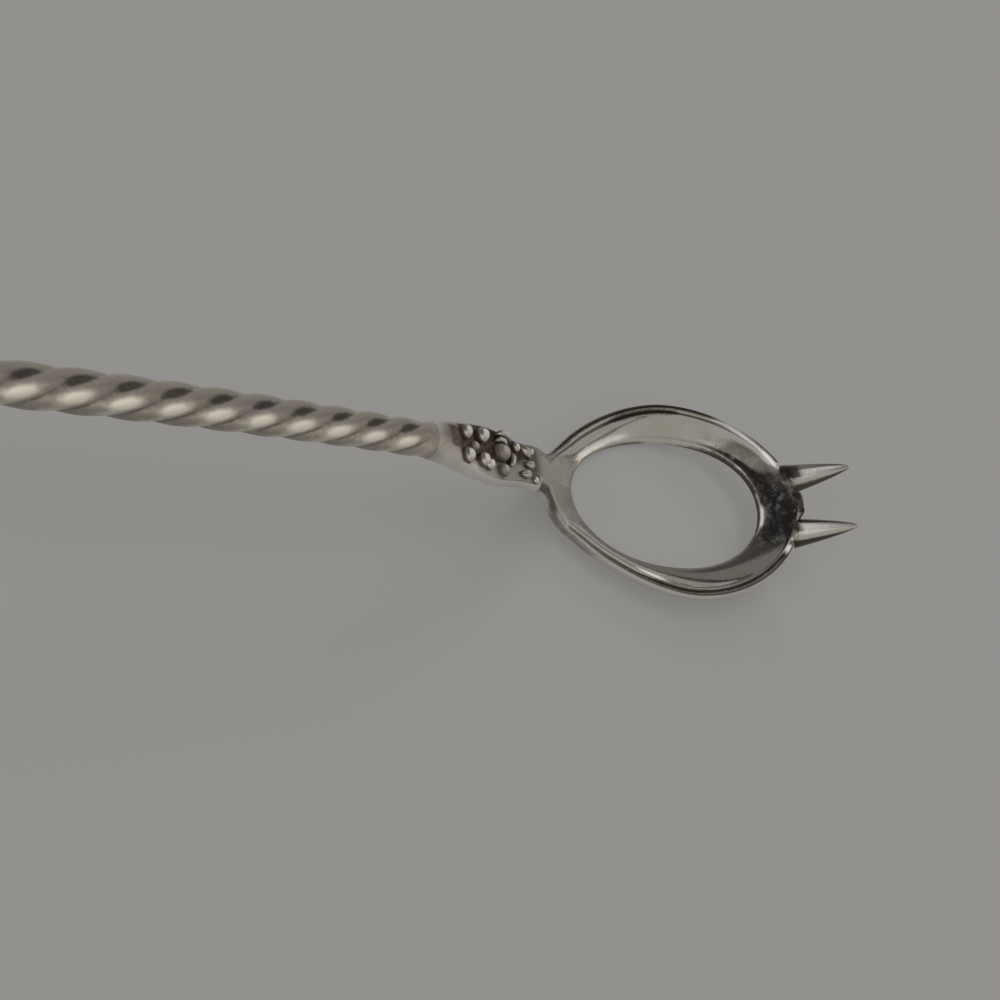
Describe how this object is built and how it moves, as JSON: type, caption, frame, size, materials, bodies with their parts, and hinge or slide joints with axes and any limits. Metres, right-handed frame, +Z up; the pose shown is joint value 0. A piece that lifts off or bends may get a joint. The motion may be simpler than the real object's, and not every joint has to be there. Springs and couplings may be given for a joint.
{
  "type": "olive fork",
  "caption": "Silver olive fork: open oval bowl with pointed tines, stepped neck, ornamented shoulder, twisted stem and ornamented terminal.",
  "frame": {"origin": "middle of the bounding box's underside, on the table that the fork lies on", "axes": "+X along the fork from the terminal to the tines, +Y to the far side, +Z up from the table"},
  "size_m": [0.1661, 0.0242, 0.0119],
  "materials": {
    "bowl_silver": "polished silver with fine scratches and light tarnish",
    "tine_silver": "polished silver, worn",
    "stem_silver": "polished silver, tarnished in the grooves",
    "shoulder_silver": "silver with an oxidised ground and a rubbed border",
    "ornament_silver": "polished silver relief",
    "ornament_oxidised": "oxidised silver relief"
  },
  "bodies": {
    "root": {"bowl": "bowl_silver", "far_tine": "tine_silver", "near_tine": "tine_silver", "shoulder": "shoulder_silver", "shoulder_beads": "ornament_silver", "shoulder_bosses": "ornament_oxidised", "shoulder_scrolls": "ornament_silver", "shoulder_leaves": "ornament_silver", "twisted_stem": "stem_silver", "terminal": "shoulder_silver", "terminal_beads": "ornament_silver", "terminal_bosses": "ornament_oxidised", "terminal_leaves": "ornament_silver"}
  },
  "joints": []
}
